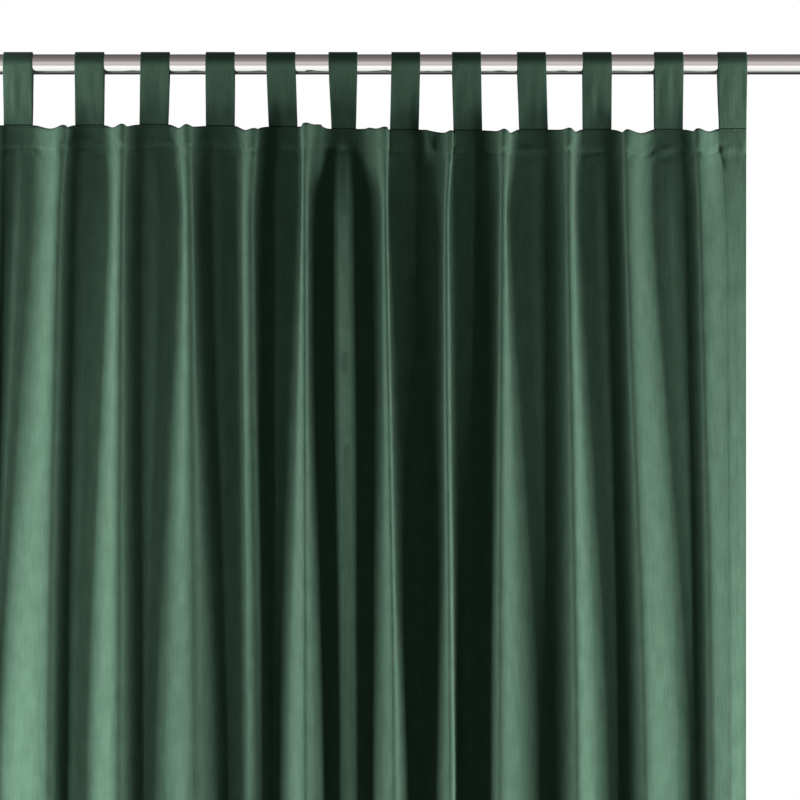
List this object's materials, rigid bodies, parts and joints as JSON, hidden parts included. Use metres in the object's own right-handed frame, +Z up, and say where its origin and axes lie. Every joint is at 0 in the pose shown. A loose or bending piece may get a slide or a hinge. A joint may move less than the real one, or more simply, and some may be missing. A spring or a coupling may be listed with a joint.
{
  "type": "tab-top chenille curtain on rod",
  "caption": "Dark green chenille curtain panel hanging in soft folds by sewn tabs from a plain round metal rod.",
  "frame": {"origin": "on the axis of the rod, above the middle of the pictured width", "axes": "+X along the rod to the viewer's right, -Y towards the viewer, +Z up; the cloth hangs towards -Z"},
  "size_m": [1.22, 0.0549, 2.5],
  "materials": {
    "chenille": "matt dark green chenille with a short soft pile",
    "rod_metal": "satin metal, smooth along the rod"
  },
  "bodies": {
    "root": {"curtain_panel": "chenille", "rod": "rod_metal", "tab_01": "chenille", "tab_02": "chenille", "tab_03": "chenille", "tab_04": "chenille", "tab_05": "chenille", "tab_06": "chenille", "tab_07": "chenille", "tab_08": "chenille", "tab_09": "chenille", "tab_10": "chenille", "tab_11": "chenille", "tab_12": "chenille"}
  },
  "joints": []
}
